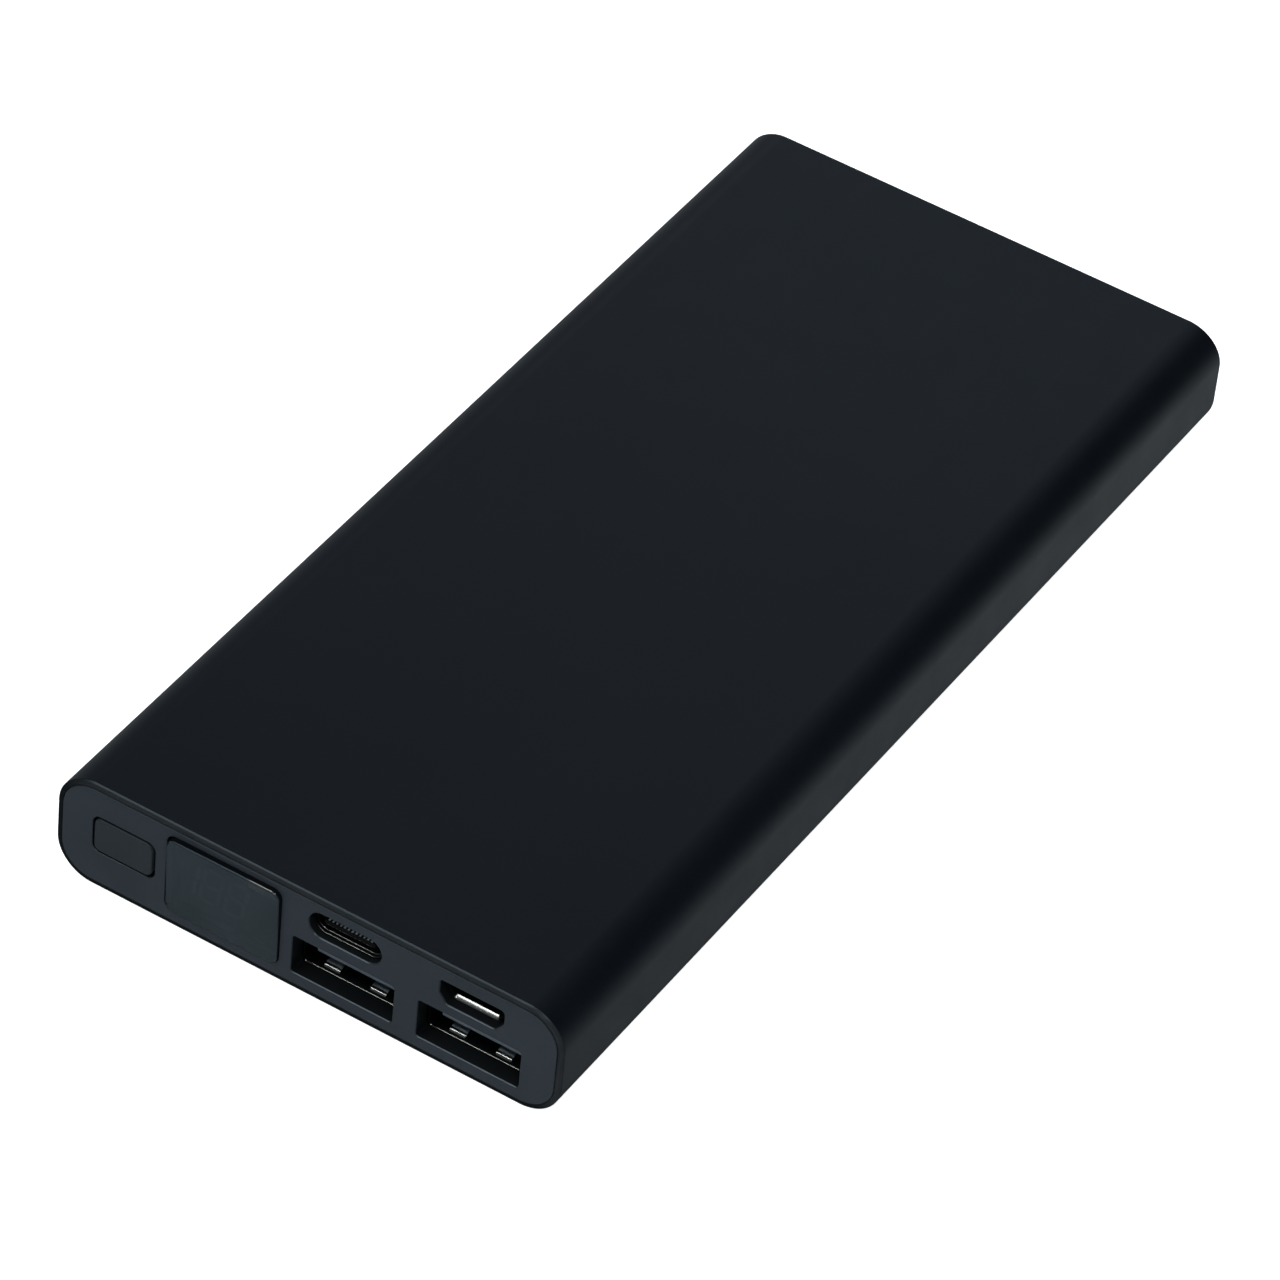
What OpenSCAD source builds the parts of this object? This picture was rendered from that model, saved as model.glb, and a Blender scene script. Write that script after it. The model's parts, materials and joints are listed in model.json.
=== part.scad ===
// Slim pocket power bank: a black extruded aluminium sleeve closed by a moulded
// front panel and a rear cap. A plastic tray inside carries two pouch cells and
// the circuit board with two USB-A sockets, a USB-C socket, a micro-USB socket,
// a push button and a small number display.
// X is the width, Y the length with the sockets on the -Y end, Z the thickness.
// The origin is on the bottom face, in the middle of the whole object.

/* [Sleeve] */
// Outer width of the aluminium sleeve
body_w = 66; // [66:0.5:70]
// Outer thickness of the aluminium sleeve
body_h = 14.9; // [14.9:0.1:15.4]
// Length of the aluminium sleeve
sleeve_l = 143.9; // [143.9:0.1:150]
// Outer corner radius of the sleeve's section
corner_r = 4.84; // [4.6:0.02:5.2]
// Wall thickness of the sleeve
wall_t = 0.7; // [0.6:0.05:0.8]
// Chamfer round both outer ends of the sleeve
end_chamfer = 0.35; // [0.15:0.05:0.4]

/* [End panels] */
// How far both end panels stand proud of the sleeve
cap_proud = 0.15; // [0.1:0.05:0.3]
// Depth of both end panels inside the sleeve
cap_depth = 2; // [1.8:0.1:2.1]
// Clearance between an end panel and the sleeve, all round
cap_gap = 0.04; // [0.03:0.01:0.1]

/* [Button] */
// Width of the power button's face
button_w = 7.7; // [7.6:0.1:8]
// Height of the power button's face
button_h = 4.7; // [4.6:0.1:5]
// Gap between the button and the panel, all round
button_gap = 0.28; // [0.15:0.01:0.3]
// How far the button stands proud of the panel
button_proud = 0.2; // [0.15:0.05:0.4]

/* [Display] */
// Width of the display lens
lens_w = 14.9; // [14.6:0.1:15]
// Height of the display lens
lens_h = 11; // [10.8:0.1:11.2]
// How far the lens stands proud of the panel at its upper edge
lens_proud = 0.7; // [0.5:0.05:0.8]
// How far the lens stands proud of the panel at its lower edge
lens_proud_low = 0.25; // [0.15:0.05:0.4]

/* [Battery] */
// Width of one pouch cell
cell_w = 60; // [58:0.5:60]
// Thickness of one pouch cell
cell_t = 5.4; // [5:0.1:5.4]
// Length of one pouch cell's filled body
cell_l = 101; // [96:0.5:101]

/* [Hidden] */
$fn = 64;

// Lengthwise stations, from the front
total_l = sleeve_l + 2 * cap_proud + lens_proud;
y_sleeve = -total_l / 2 + lens_proud + cap_proud; // sleeve's front edge
y_rear = y_sleeve + sleeve_l;                     // sleeve's rear edge
y_face = y_sleeve - cap_proud;                    // front panel's face
y_back = y_sleeve + cap_depth;                    // front panel's back
zc = body_h / 2;

// Section of the end panels
cap_w = body_w - 2 * wall_t - 2 * cap_gap;
cap_h = body_h - 2 * wall_t - 2 * cap_gap;
cap_r = corner_r - wall_t - cap_gap;
cap_edge = 0.15; // eased edge of the end panels

// Places on the front panel, as x and z of each centre
button_x = -24.07;
button_z = 7.96;
lens_x = -10.75;
lens_z = 7.8;
usb_a_x = [4.96, 21.3];
usb_a_z = 5.15;
usb_c_x = 4.96;
usb_c_z = 11.2;
micro_x = 21.3;

// Circuit board
board_z = 8;
board_t = 1.6;
board_top = board_z + board_t;
board_rear = -45.5;
screw_xy = [[-27.4, -48.5], [27.4, -48.5], [-27.4, -57.5], [-10.5, -60.5]];

// Tray
tray_w = 62;       // room between the side rails
tray_floor = 1.5;  // upper face of the floor
tray_top = 12;
tray_y = [y_back + 0.1, y_rear - cap_depth - 0.1];

// Battery stack
cell_y = -36;
cell_z1 = tray_floor + 0.3;
cell_z2 = cell_z1 + cell_t + 0.5;

// Push switch
switch_z = 6.4;

// Rounded rectangle, centred
module rr(w, h, r) {
    square([w - 2 * r, h], center = true);
    square([w, h - 2 * r], center = true);
    for (sx = [-1, 1], sy = [-1, 1])
        translate([sx * (w / 2 - r), sy * (h / 2 - r)]) circle(r);
}

// Prism of a rounded rectangle along Y, from y0 to y1
module slab(w, h, r, y0, y1) {
    translate([0, y1, 0]) rotate([90, 0, 0]) linear_extrude(y1 - y0) rr(w, h, r);
}

// Frustum along Y that grows from an inset of c at y = 0 to the full section at y = c
module taper(w, h, r, c) {
    for (sx = [-1, 1], sz = [-1, 1])
        translate([sx * (w / 2 - r), 0, sz * (h / 2 - r)])
            rotate([-90, 0, 0]) cylinder(h = c, r1 = r - c, r2 = r);
    rotate([90, 0, 90]) linear_extrude(w - 2 * r, center = true)
        polygon([[0, -h / 2 + c], [c, -h / 2], [c, h / 2], [0, h / 2 - c]]);
    linear_extrude(h - 2 * r, center = true)
        polygon([[-w / 2 + c, 0], [w / 2 - c, 0], [w / 2, c], [-w / 2, c]]);
}

// Prism with chamfered ends, c0 at y0 and c1 at y1
module eased_slab(w, h, r, y0, y1, c0, c1) {
    slab(w, h, r, y0 + c0, y1 - c1);
    if (c0 > 0) translate([0, y0, 0]) taper(w, h, r, c0);
    if (c1 > 0) translate([0, y1, 0]) mirror([0, 1, 0]) taper(w, h, r, c1);
}

// Opening through the front panel with a small lead-in chamfer c at the face
module mouth(w, h, r, c) {
    slab(w, h, r, y_face - 1, y_back + 1);
    translate([0, y_face + c, 0]) mirror([0, 1, 0]) taper(w + 2 * c, h + 2 * c, r + c, c);
}

// Flexible snap arm on the back of an end panel, pointing along +Y from y = 0
module snap_arm(side, l) {
    x0 = side > 0 ? 29.3 : -30.3;
    translate([x0, -0.1, 3.2]) cube([1, l + 0.1, 3]);
    xh = side > 0 ? 30.2 : -31.5;
    translate([xh, l - 1.6, 3.6]) cube([1.3, 1.2, 2.2]);
}

module aluminium_sleeve() {
    color("#1b1f25") translate([0, 0, zc]) difference() {
        eased_slab(body_w, body_h, corner_r, y_sleeve, y_rear, end_chamfer, end_chamfer);
        slab(body_w - 2 * wall_t, body_h - 2 * wall_t, corner_r - wall_t, y_sleeve - 1, y_rear + 1);
    }
}

// Outline of the micro-USB opening or shell: the wide side is up
module micro_outline(w, w_low, z_low, z_knee, z_top) {
    polygon([[-w / 2, z_top], [-w / 2, z_knee], [-w_low / 2, z_low],
        [w_low / 2, z_low], [w / 2, z_knee], [w / 2, z_top]]);
}
module micro_prism(w, w_low, z_low, z_knee, z_top, y0, y1) {
    translate([micro_x, y1, 0]) rotate([90, 0, 0]) linear_extrude(y1 - y0)
        micro_outline(w, w_low, z_low, z_knee, z_top);
}

module front_panel() {
    color("#2b3036") {
        difference() {
            translate([0, 0, zc]) eased_slab(cap_w, cap_h, cap_r, y_face, y_back, cap_edge, 0);
            // button
            translate([button_x, 0, button_z])
                mouth(button_w + 2 * button_gap, button_h + 2 * button_gap, 1.08, 0.08);
            // pocket and window of the display
            translate([lens_x, 0, lens_z]) {
                slab(lens_w + 0.12, lens_h + 0.12, 1.16, y_face - 1, y_face + 1.02);
                slab(13.4, 9.5, 0.6, y_face, y_back + 1);
            }
            // sockets
            for (x = usb_a_x) translate([x, 0, 5.1]) mouth(13.25, 5.4, 0.35, 0.15);
            translate([usb_c_x, 0, 11.22]) mouth(9.44, 3.57, 1.78, 0.15);
            micro_prism(8.25, 6.2, 9.2, 10.5, 12.4, y_face - 1, y_back + 1);
        }
        for (s = [-1, 1]) translate([0, y_back, 0]) snap_arm(s, 7);
    }
}

module rear_cap() {
    y_in = y_rear - cap_depth;
    color("#2b3036") {
        translate([0, 0, zc]) eased_slab(cap_w, cap_h, cap_r, y_in, y_rear + cap_proud, 0, cap_edge);
        for (s = [-1, 1]) translate([0, y_in, 0]) mirror([0, 1, 0]) snap_arm(s, 3.7);
    }
}

module battery_tray() {
    y0 = tray_y[0];
    y1 = tray_y[1];
    color("#3a3d41") difference() {
        union() {
            difference() {
                translate([0, 0, zc]) slab(cap_w - 0.16, cap_h - 0.16, cap_r - 0.08, y0, y1);
                // room inside, rounded at its lower corners
                translate([0, y1 + 1, tray_floor + 20]) rotate([90, 0, 0])
                    linear_extrude(y1 - y0 + 2) rr(tray_w, 40, 3.2);
                translate([-40, y0 - 1, tray_top]) cube([80, y1 - y0 + 2, 10]);
            }
            // bulkhead between the board and the cells
            translate([-29, -45.2, tray_floor - 0.2]) cube([58, 1, 6.2]);
            // screw pillars under the board
            for (p = screw_xy)
                translate([p[0], p[1], tray_floor - 0.2])
                    cylinder(h = board_z - tray_floor + 0.2, d = 4.2);
        }
        // pilot holes of the pillars
        for (p = screw_xy) translate([p[0], p[1], 4.2]) cylinder(h = 10, d = 1.7);
        // windows for the snap arms' hooks
        for (s = [-1, 1]) {
            translate([s > 0 ? 30.5 : -33.5, y_back + 5.1, 3.3]) cube([3, 1.9, 2.8]);
            translate([s > 0 ? 30.5 : -33.5, y_rear - cap_depth - 3.7, 3.3]) cube([3, 1.9, 2.8]);
        }
    }
}

module power_button() {
    color("#262b31") {
        translate([button_x, 0, button_z])
            eased_slab(button_w, button_h, 0.95, y_face - button_proud, y_back + 0.3, 0.12, 0);
        // flange that keeps the button behind the panel
        translate([button_x, 0, button_z]) slab(9.6, 6.5, 1.2, y_back + 0.05, y_back + 0.85);
        // nub that meets the switch
        translate([button_x - 1.1, y_back + 0.8, switch_z - 0.7])
            cube([2.2, -66.05 - (y_back + 0.8), 1.4]);
    }
}

module switch_housing() {
    color("#17181a") difference() {
        translate([button_x - 3, -65, 4.8]) cube([6, 3.5, board_z - 4.8]);
        translate([button_x - 1.3, -66, switch_z - 0.75]) cube([2.6, 2.6, 1.5]);
    }
}
module switch_plunger() {
    color("#e8e4d8") translate([button_x - 1.2, -66, switch_z - 0.65]) cube([2.4, 2, 1.3]);
}
module switch_dome() {
    color("silver") translate([button_x - 1.2, -63.5, switch_z - 0.6]) cube([2.4, 0.1, 1.2]);
}

module display_lens() {
    y_in = y_face + 1;
    z0 = lens_z - lens_h / 2;
    z1 = lens_z + lens_h / 2;
    color("#15181c", 0.6) intersection() {
        translate([lens_x, 0, lens_z]) slab(lens_w, lens_h, 1.1, y_face - lens_proud, y_in);
        translate([lens_x, 0, 0]) rotate([90, 0, 90]) linear_extrude(lens_w + 2, center = true)
            polygon([[y_in + 1, z0 - 1], [y_in + 1, z1 + 1], [y_face - lens_proud, z1 + 1],
                [y_face - lens_proud, z1], [y_face - lens_proud_low, z0], [y_face - lens_proud_low, z0 - 1]]);
    }
}
module display_module() {
    color("#202326") translate([lens_x, 0, lens_z]) {
        slab(13, 9.2, 0.4, y_face + 1.15, y_back + 0.7);
        slab(14.4, 10.4, 0.4, y_back + 0.6, y_back + 3.6);
    }
}
// One bar of a seven-segment digit, with pointed ends, centred, lying along X
module segment(l, t) {
    polygon([[-l / 2, 0], [-l / 2 + t / 2, t / 2], [l / 2 - t / 2, t / 2],
        [l / 2, 0], [l / 2 - t / 2, -t / 2], [-l / 2 + t / 2, -t / 2]]);
}
// Digit 8 or 1 in its own plane, w wide and h high, leaning a little to the right
module digit(w, h, t, full) {
    s = h / 2;
    for (j = [-1, 1]) translate([w / 2 + j * 0.22, j * s / 2]) rotate(84) segment(s - 0.1, t);
    if (full) {
        for (j = [-1, 1]) translate([-w / 2 + j * 0.22, j * s / 2]) rotate(84) segment(s - 0.1, t);
        for (j = [-1, 0, 1]) translate([j * 0.45, j * s]) segment(w - 0.15, t);
    }
}
module display_digits() {
    color("#9aa0a6") translate([lens_x, y_face + 1.15, lens_z]) rotate([90, 0, 0])
        linear_extrude(0.05) {
            translate([-4.65, -0.45]) digit(0.6, 4.8, 0.55, false);
            translate([-2.35, -0.45]) digit(2.3, 4.8, 0.55, true);
            translate([0.95, -0.45]) digit(2.3, 4.8, 0.55, true);
        }
}
module display_pins() {
    color("gold") for (i = [0:9])
        translate([lens_x - 5.715 + 1.27 * i - 0.2, y_back + 3.6, board_top])
            cube([0.4, 3.2, 0.4]);
}
module display_gasket() {
    color("#0d0d0e") translate([lens_x, 0, lens_z]) difference() {
        slab(14.4, 10.4, 0.4, y_back + 0.05, y_back + 0.6);
        slab(13.2, 9.4, 0.4, y_back - 1, y_back + 2);
    }
}

module main_board() {
    color("#14503a") difference() {
        translate([0, 0, board_z]) linear_extrude(board_t) polygon([
            [-30, -65.2], [-19.5, -65.2], [-19.5, -64.3], [-2.6, -64.3], [-2.6, -69.2],
            [30, -69.2], [30, board_rear], [-30, board_rear]]);
        for (p = screw_xy) translate([p[0], p[1], board_z - 1]) cylinder(h = board_t + 2, d = 1.8);
    }
}

// USB-A socket at x: a folded metal shell with four inward springs
module usb_a_shell(x) {
    y0 = y_back + 0.05;
    y1 = -55.5;
    color("silver") translate([x, 0, usb_a_z]) {
        difference() {
            slab(13.1, 5.7, 0.6, y0, y1);
            slab(12.5, 5.1, 0.3, y0 - 1, y1 - 0.3);
        }
        for (sx = [-3, 3], m = [0, 1]) mirror([0, 0, m])
            translate([sx - 1.05, y0 + 0.6, -2.7]) rotate([9, 0, 0]) cube([2.1, 2.3, 0.22]);
    }
}
module usb_a_tongue(x) {
    color("#101214") translate([x, 0, 0]) {
        translate([-5.55, y_face + 3.5, 3.3]) cube([11.1, -60.4 - y_face - 3.5, 1.84]);
        translate([0, 0, usb_a_z]) slab(12.46, 5.06, 0.28, -60.5, -55.82);
    }
}
module usb_a_contacts(x) {
    color("gold") for (i = [-3.5, -1, 1, 3.5])
        translate([x + i - 0.5, y_face + 4.1, 5.14]) cube([1, 6, 0.2]);
}
module usb_a_left_shell() usb_a_shell(usb_a_x[0]);
module usb_a_left_tongue() usb_a_tongue(usb_a_x[0]);
module usb_a_left_contacts() usb_a_contacts(usb_a_x[0]);
module usb_a_right_shell() usb_a_shell(usb_a_x[1]);
module usb_a_right_tongue() usb_a_tongue(usb_a_x[1]);
module usb_a_right_contacts() usb_a_contacts(usb_a_x[1]);

module usb_c_shell() {
    y0 = y_face + 0.9;
    color("silver") translate([usb_c_x, 0, usb_c_z]) difference() {
        slab(8.94, 3.2, 1.59, y0, -63);
        slab(8.34, 2.6, 1.29, y0 - 1, -63.3);
    }
}
module usb_c_tongue() {
    y0 = y_face + 0.95;
    color("#17191b") translate([usb_c_x, 0, usb_c_z]) {
        translate([-3.345, y0, -0.35]) cube([6.69, -66 - y0 + 0.1, 0.7]);
        slab(8.3, 2.56, 1.27, -66, -63.32);
    }
}
module usb_c_contacts() {
    y0 = y_face + 1.05;
    color("gold") for (i = [-5.5:1:5.5], z = [-0.41, 0.35])
        translate([usb_c_x + i * 0.5 - 0.125, y0, usb_c_z + z]) cube([0.25, 4.3, 0.06]);
}

module micro_usb_shell() {
    y0 = y_face + 1.2;
    color("silver") difference() {
        micro_prism(7.5, 5.7, 9.6, 10.7, 12.1, y0, -65);
        micro_prism(7, 5.46, 9.85, 10.79, 11.85, y0 - 1, -65.25);
    }
}
module micro_usb_tongue() {
    color("#17191b") {
        translate([micro_x - 1.85, y_face + 1.7, 11]) cube([3.7, -66.5 - y_face - 1.7, 0.6]);
        micro_prism(6.96, 5.42, 9.87, 10.81, 11.83, -66.6, -65.27);
    }
}
module micro_usb_contacts() {
    color("gold") for (i = [-2:2])
        translate([micro_x + 0.65 * i - 0.15, y_face + 2, 10.94]) cube([0.3, 3, 0.06]);
}

module power_inductor() {
    color("#55585c") translate([12, -54, board_top]) difference() {
        linear_extrude(3) rr(7, 7, 0.8);
        translate([0, 0, 2.8]) difference() {
            cylinder(h = 1, d = 6.2);
            translate([0, 0, -1]) cylinder(h = 3, d = 3.4);
        }
    }
}
module bulk_capacitors() {
    color("#b9bdc2") for (x = [8, 16]) translate([x, -50.3, 3]) {
        translate([0, 0, 0]) cylinder(h = 4.4, d = 6.3);
        translate([-3.3, -3.3, 4.3]) cube([6.6, 6.6, board_z - 7.3]);
    }
}
module ceramic_capacitors() {
    color("#b58a5a") for (i = [0:3], j = [0:2])
        translate([-18 + 2.6 * i, -54.5 + 3 * j, board_top]) cube([1.25, 2, 1.25]);
}
module chip(x, y, w, h) {
    translate([x, y, board_top]) difference() {
        translate([-w / 2, -w / 2, 0]) cube([w, w, h]);
        translate([-w / 2 + 0.8, w / 2 - 0.8, h - 0.1]) cylinder(h = 1, d = 0.5);
    }
}
module controller_chip() {
    color("#1a1b1d") chip(1.5, -57.5, 5, 0.9);
}
module charger_chip() {
    color("#1a1b1d") chip(-20.5, -57.5, 4, 0.9);
}
module power_mosfets() {
    color("#1a1b1d") for (y = [-60.5, -56, -51.5]) chip(22, y, 3.3, 1);
}
module board_screws() {
    color("#8a8d91") for (p = screw_xy) translate([p[0], p[1], 0]) {
        difference() {
            union() {
                translate([0, 0, 4.8]) cylinder(h = board_top - 4.7, d = 1.6);
                translate([0, 0, board_top]) cylinder(h = 1, d = 3);
            }
            for (a = [0, 90]) translate([0, 0, board_top + 0.8])
                rotate(a) cube([1.8, 0.35, 0.8], center = true);
        }
    }
}

// Pouch cell standing on z: a filled body, and a thin sealed edge at the tab end
module pouch(z) {
    translate([0, 0, z + cell_t / 2]) {
        slab(cell_w, cell_t, 2, cell_y, cell_y + cell_l);
        translate([-cell_w / 2 + 2, cell_y - 4, -0.15]) cube([cell_w - 4, 4.1, 0.3]);
    }
}
module lower_cell() {
    color("#c9ccd0") pouch(cell_z1);
}
module upper_cell() {
    color("#c9ccd0") pouch(cell_z2);
}
module tabs(z) {
    for (x = [-15, 9]) translate([x, -42.8, z + cell_t / 2 - 0.075])
        cube([6, cell_y - 4 + 42.8, 0.15]);
}
module lower_cell_tabs() {
    color("#d8d4c8") tabs(cell_z1);
}
module upper_cell_tabs() {
    color("#d8d4c8") tabs(cell_z2);
}
module protection_board() {
    color("#14503a") translate([-22, -43.6, 2.6]) cube([44, 0.8, 9.6]);
}

// Round wire of radius r in the plane x, through the [y, z] points of its route
lead_route = [[-43.65, 11.2], [-45, 11.3], [-46.2, 11.1], [-47.2, 10.75], [-48.2, 10.5], [-50, 10.45]];
module wire(x, route, r) {
    n = len(route);
    m = 8;
    dir = [for (i = [0:n - 1]) let (d = route[min(i + 1, n - 1)] - route[max(i - 1, 0)]) d / norm(d)];
    pts = [for (i = [0:n - 1], k = [0:m - 1]) let (a = 360 * k / m)
        [x + r * cos(a), route[i][0] - dir[i][1] * r * sin(a), route[i][1] + dir[i][0] * r * sin(a)]];
    sides = [for (i = [0:n - 2], k = [0:m - 1])
        [i * m + k, (i + 1) * m + k, (i + 1) * m + (k + 1) % m, i * m + (k + 1) % m]];
    ends = [[for (k = [0:m - 1]) k], [for (k = [m - 1:-1:0]) (n - 1) * m + k]];
    polyhedron(points = pts, faces = concat(sides, ends));
}
module positive_lead() {
    color("#b3261e") wire(6, lead_route, 0.7);
}
module negative_lead() {
    color("#111111") wire(-6, lead_route, 0.7);
}

module lower_adhesive_sheet() {
    color("#f2efe6") translate([-26, cell_y + 4, tray_floor]) cube([52, cell_l - 8, 0.3]);
}
module middle_adhesive_sheet() {
    color("#f2efe6") translate([-26, cell_y + 4, cell_z1 + cell_t]) cube([52, cell_l - 8, 0.5]);
}
module upper_foam_pad() {
    color("#2a2a2c") translate([-26, cell_y + 6, cell_z2 + cell_t]) cube([52, cell_l - 12, 1]);
}
module end_foam_pad() {
    color("#2a2a2c") translate([-27, cell_y + cell_l + 0.2, 3]) cube([54, 2, 9]);
}
module insulation_film() {
    color("#d9c48a") translate([-27.5, -69.2, body_h - wall_t - 0.2]) cube([55, 23.6, 0.2]);
}

aluminium_sleeve();
front_panel();
rear_cap();
battery_tray();
power_button();
switch_plunger();
switch_housing();
switch_dome();
display_lens();
display_module();
display_digits();
display_pins();
display_gasket();
main_board();
usb_a_left_shell();
usb_a_left_tongue();
usb_a_left_contacts();
usb_a_right_shell();
usb_a_right_tongue();
usb_a_right_contacts();
usb_c_shell();
usb_c_tongue();
usb_c_contacts();
micro_usb_shell();
micro_usb_tongue();
micro_usb_contacts();
power_inductor();
bulk_capacitors();
ceramic_capacitors();
controller_chip();
charger_chip();
power_mosfets();
board_screws();
lower_cell();
upper_cell();
lower_cell_tabs();
upper_cell_tabs();
protection_board();
positive_lead();
negative_lead();
lower_adhesive_sheet();
middle_adhesive_sheet();
upper_foam_pad();
end_foam_pad();
insulation_film();
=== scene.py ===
"""Slim pocket power bank: the finished shells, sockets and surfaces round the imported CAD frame."""

import json
import math

import bmesh
import bpy
from mathutils import Matrix, Vector


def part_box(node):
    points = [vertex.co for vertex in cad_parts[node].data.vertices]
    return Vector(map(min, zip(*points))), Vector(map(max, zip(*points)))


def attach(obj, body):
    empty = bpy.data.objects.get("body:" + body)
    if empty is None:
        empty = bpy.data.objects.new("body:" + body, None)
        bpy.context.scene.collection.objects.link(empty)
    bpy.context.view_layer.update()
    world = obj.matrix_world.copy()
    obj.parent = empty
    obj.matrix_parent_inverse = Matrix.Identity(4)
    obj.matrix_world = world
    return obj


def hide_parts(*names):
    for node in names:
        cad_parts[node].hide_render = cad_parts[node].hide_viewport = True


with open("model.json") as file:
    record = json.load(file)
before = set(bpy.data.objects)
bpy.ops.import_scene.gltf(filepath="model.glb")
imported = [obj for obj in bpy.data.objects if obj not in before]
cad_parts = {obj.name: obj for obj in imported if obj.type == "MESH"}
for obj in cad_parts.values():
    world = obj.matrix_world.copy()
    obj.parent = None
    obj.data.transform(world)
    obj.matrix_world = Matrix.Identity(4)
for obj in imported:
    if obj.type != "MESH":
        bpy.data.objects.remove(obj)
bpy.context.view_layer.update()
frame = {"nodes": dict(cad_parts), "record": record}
scene = bpy.context.scene
nodes = frame["nodes"]
MM = 0.001


# ---------------------------------------------------------------- camera
def make_camera():
    az, el, roll = 0.4962256723, 0.7330758435, 0.1063584481
    dist, ox, oy = 0.8498948, 0.0024514709, 0.0056583969
    centre = Vector((0, 0.00035, 0.00742))
    back = Vector((math.sin(az) * math.cos(el), -math.cos(az) * math.cos(el), math.sin(el)))
    xc = Vector((0, 0, 1)).cross(back).normalized()
    yc = back.cross(xc)
    c, s = math.cos(roll), math.sin(roll)
    xr, yr = c * xc + s * yc, -s * xc + c * yc
    cam = bpy.data.cameras.new("camera")
    ob = bpy.data.objects.new("camera", cam)
    scene.collection.objects.link(ob)
    cam.sensor_width, cam.lens = 36, 209.0453
    m = Matrix((xr, yr, back)).transposed().to_4x4()
    m.translation = centre + dist * back - ox * xr - oy * yr
    ob.matrix_world = m
    cam.clip_start, cam.clip_end = 0.02, 20
    scene.camera = ob


make_camera()


# ---------------------------------------------------------------- sizes, in millimetres
def mmbox(name):
    lo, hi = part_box(name)
    return lo / MM, hi / MM


S0, S1 = mmbox("aluminium_sleeve")
P0, P1 = mmbox("front_panel")
R0, R1 = mmbox("rear_cap")
L0, L1 = mmbox("display_lens")
BODY_W, BODY_H = S1.x - S0.x, S1.z - S0.z
ZC = (S0.z + S1.z) / 2
Y_SLEEVE, Y_REAR = S0.y, S1.y
Y_FACE, Y_BACK = P0.y, S0.y + 2.0
Y_CAP = R1.y
CAP_W, CAP_H = P1.x - P0.x, P1.z - P0.z
CORNER_R, WALL = 4.84, 0.7
CAP_R = CORNER_R - WALL - 0.04
BUTTON = (-24.07, 7.96)
LENS = ((L0.x + L1.x) / 2, (L0.z + L1.z) / 2)
USB_A = (4.96, 21.3)
USB_C = (4.96, 11.2)
MICRO_X = 21.3


# ---------------------------------------------------------------- mesh helpers
def rr(w, h, r, cx, cz, n=8):
    """Outline of a rounded rectangle, as a function of an outward offset and a station y."""

    def at(d, y):
        W, H = w + 2 * d, h + 2 * d
        R = max(0.01, min(r + d, W / 2 - 0.002, H / 2 - 0.002))
        out = []
        for k, (sx, sz) in enumerate(((1, 1), (-1, 1), (-1, -1), (1, -1))):
            for i in range(n + 1):
                a = math.radians(90 * k + 90 * i / n)
                out.append((cx + sx * (W / 2 - R) + R * math.cos(a), y, cz + sz * (H / 2 - R) + R * math.sin(a)))
        return out

    return at


def poly(points, radii, n=5):
    """Outline of a polygon with rounded corners, counter-clockwise seen from -Y, as a function of an offset and a station."""
    m = len(points)

    def at(d, y):
        lines = []
        for i in range(m):
            p, q = Vector(points[i]), Vector(points[(i + 1) % m])
            t = (q - p).normalized()
            lines.append((p + Vector((t.y, -t.x)) * d, t))
        corners = []
        for i in range(m):
            (p, t), (q, u) = lines[i - 1], lines[i]
            k = ((q - p).x * u.y - (q - p).y * u.x) / (t.x * u.y - t.y * u.x)
            corners.append(p + t * k)
        out = []
        for i in range(m):
            c = corners[i]
            a, b = (corners[i - 1] - c).normalized(), (corners[(i + 1) % m] - c).normalized()
            ang = a.angle(b)
            R = max(0.02, radii[i] + d)
            s = c + a * (R / math.tan(ang / 2))
            o = c + (a + b).normalized() * (R / math.sin(ang / 2))
            a0 = math.atan2((s - o).y, (s - o).x)
            for k in range(n + 1):
                w = a0 + (math.pi - ang) * k / n
                out.append((o.x + R * math.cos(w), y, o.y + R * math.sin(w)))
        return out

    return at


def ring(bm, pts):
    return [bm.verts.new(p) for p in pts]


def bridge(bm, a, b, mi=0):
    n = len(a)
    for i in range(n):
        j = (i + 1) % n
        bm.faces.new((a[i], a[j], b[j], b[i])).material_index = mi


def loft(bm, rings, mi=0, caps=(False, False), marks=None):
    """Skins a list of point lists, and returns the rings of vertices. marks gives the material of some of the steps."""
    vs = [ring(bm, r) for r in rings]
    for k in range(len(vs) - 1):
        bridge(bm, vs[k], vs[k + 1], (marks or {}).get(k, mi))
    if caps[0]:
        bm.faces.new(vs[0]).material_index = mi
    if caps[1]:
        bm.faces.new(vs[-1]).material_index = mi
    return vs


def fill(bm, loops, mi=0):
    """Fills the flat area between an outer loop and the loops of its holes."""
    edges = []
    for loop in loops:
        for i in range(len(loop)):
            a, b = loop[i], loop[(i + 1) % len(loop)]
            edges.append(bm.edges.get((a, b)) or bm.edges.new((a, b)))
    made = bmesh.ops.triangle_fill(bm, use_beauty=True, use_dissolve=False, edges=edges)
    for g in made["geom"]:
        if isinstance(g, bmesh.types.BMFace):
            g.material_index = mi


def eased(at, y, c, steps=4, sign=1, inset=0.0):
    """Rings of a rounded outer edge, from the end face at y to the wall. sign 1 where the solid lies towards +Y."""
    out = []
    for i in range(steps + 1):
        f = math.pi / 2 * i / steps
        out.append(at(-inset - c * (1 - math.sin(f)), y + sign * c * (1 - math.cos(f))))
    return out


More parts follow.
